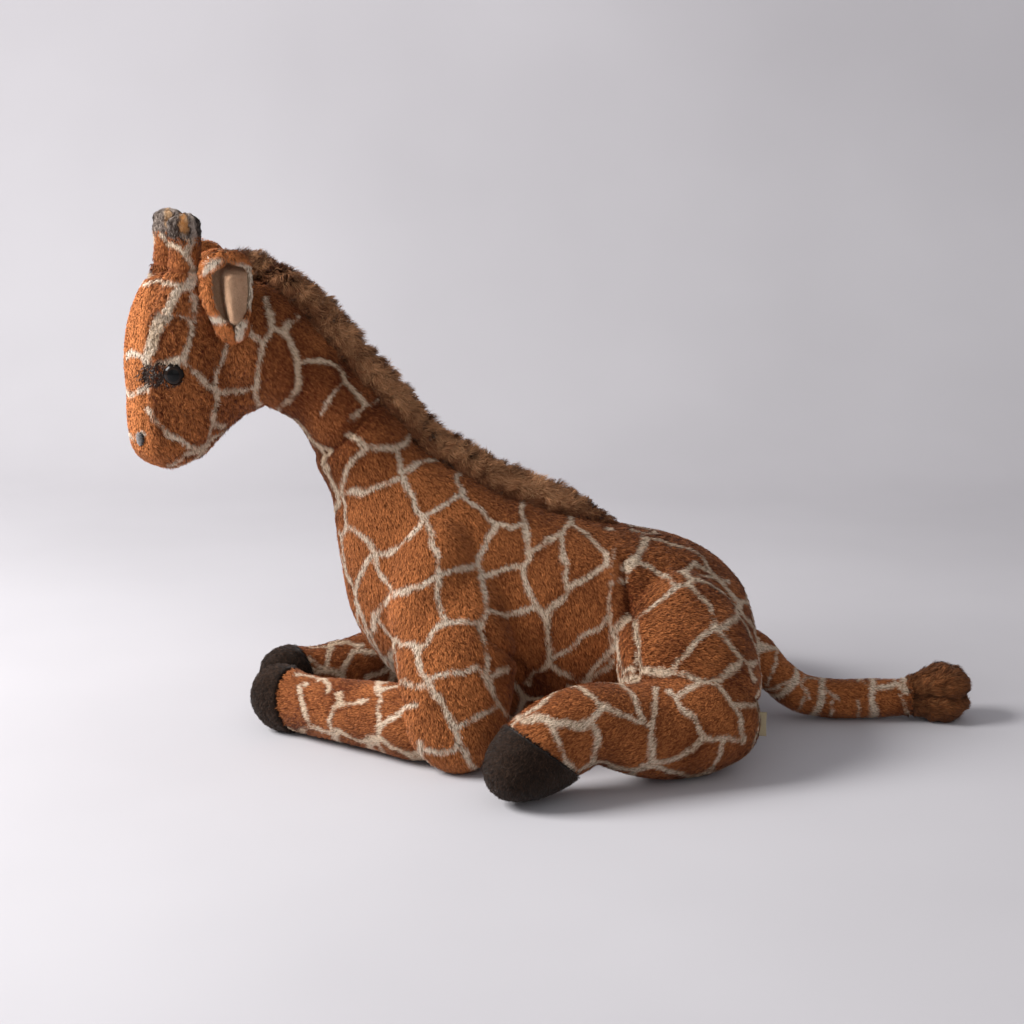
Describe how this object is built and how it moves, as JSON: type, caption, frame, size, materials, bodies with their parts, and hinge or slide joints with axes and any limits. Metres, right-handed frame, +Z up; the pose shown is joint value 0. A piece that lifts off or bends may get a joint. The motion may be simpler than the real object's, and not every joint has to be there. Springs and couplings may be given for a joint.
{
  "type": "plush giraffe",
  "caption": "Lying stuffed giraffe of patterned plush with a raised neck, turned head, folded legs, hanging ears, a tufted tail and a ridge of mane.",
  "frame": {"origin": "centre of the bounding box's bottom face, on the surface that the toy lies on", "axes": "+X towards the tail's tip, -Y towards the toy's left side, +Z up"},
  "size_m": [0.762, 0.4968, 0.4678],
  "materials": {
    "tan_plush": "short brown pile in patches parted by cream lines",
    "hoof_velour": "dark brown velour",
    "ear_velour": "taupe velour",
    "mane_pile": "long brown pile",
    "horn_tip_pile": "long grey-black and pale pile",
    "eye_plastic": "polished black",
    "washer_plastic": "moulded white",
    "nose_thread": "satin stitch",
    "label_cloth": "blank woven tape"
  },
  "bodies": {
    "root": {"torso": "tan_plush", "mane_back": "mane_pile", "haunch_left": "tan_plush", "haunch_right": "tan_plush", "shoulder_left": "tan_plush", "shoulder_right": "tan_plush"},
    "head": {"upper_neck": "tan_plush", "head": "tan_plush", "mane_neck": "mane_pile", "horn_left": "tan_plush", "horn_right": "tan_plush", "horn_tip_left": "horn_tip_pile", "horn_tip_right": "horn_tip_pile", "eye_left": "eye_plastic", "eye_right": "eye_plastic", "eye_washer_left": "washer_plastic", "eye_washer_right": "washer_plastic", "nostril_left": "nose_thread", "nostril_right": "nose_thread"},
    "ear_left": {"ear_left": "tan_plush", "ear_lining_left": "ear_velour"},
    "ear_right": {"ear_right": "tan_plush", "ear_lining_right": "ear_velour"},
    "foreleg_left": {"foreleg_left": "tan_plush", "front_hoof_left": "hoof_velour"},
    "foreleg_right": {"foreleg_right": "tan_plush", "front_hoof_right": "hoof_velour"},
    "shank_left": {"shank_left": "tan_plush", "hind_hoof_left": "hoof_velour", "label": "label_cloth"},
    "shank_right": {"shank_right": "tan_plush", "hind_hoof_right": "hoof_velour"},
    "tail": {"tail": "tan_plush", "tail_tuft": "mane_pile"}
  },
  "joints": [
    {"name": "head_nod", "type": "hinge", "parent": "root", "child": "head", "pos_m": [-0.16339, 0, 0.2425], "axis": [0, 1, 0], "range_deg": [-14, 10], "stiffness_Nm_per_rad": 20},
    {"name": "ear_left_lift", "type": "hinge", "parent": "head", "child": "ear_left", "pos_m": [-0.28977, -0.02715, 0.3966], "axis": [-0.9397, -0.342, 0], "range_deg": [0, 20], "stiffness_Nm_per_rad": 0.3},
    {"name": "ear_right_lift", "type": "hinge", "parent": "head", "child": "ear_right", "pos_m": [-0.31511, 0.04249, 0.3966], "axis": [0.9397, 0.342, 0], "range_deg": [0, 20], "stiffness_Nm_per_rad": 0.3},
    {"name": "foreleg_left_swing", "type": "hinge", "parent": "root", "child": "foreleg_left", "pos_m": [-0.11371, -0.11439, 0.032], "axis": [0, 0, 1], "range_deg": [0, 25], "stiffness_Nm_per_rad": 1},
    {"name": "foreleg_right_swing", "type": "hinge", "parent": "root", "child": "foreleg_right", "pos_m": [-0.11371, 0.11439, 0.032], "axis": [0, 0, -1], "range_deg": [0, 25], "stiffness_Nm_per_rad": 1},
    {"name": "shank_left_swing", "type": "hinge", "parent": "root", "child": "shank_left", "pos_m": [0.1298, -0.13996, 0.044], "axis": [0, 0, 1], "range_deg": [0, 20], "stiffness_Nm_per_rad": 1},
    {"name": "shank_right_swing", "type": "hinge", "parent": "root", "child": "shank_right", "pos_m": [0.1298, 0.13996, 0.044], "axis": [0, 0, -1], "range_deg": [0, 20], "stiffness_Nm_per_rad": 1},
    {"name": "tail_lift", "type": "hinge", "parent": "root", "child": "tail", "pos_m": [0.18004, 0, 0.06812], "axis": [0, -1, 0], "range_deg": [0, 45], "stiffness_Nm_per_rad": 0.5}
  ]
}
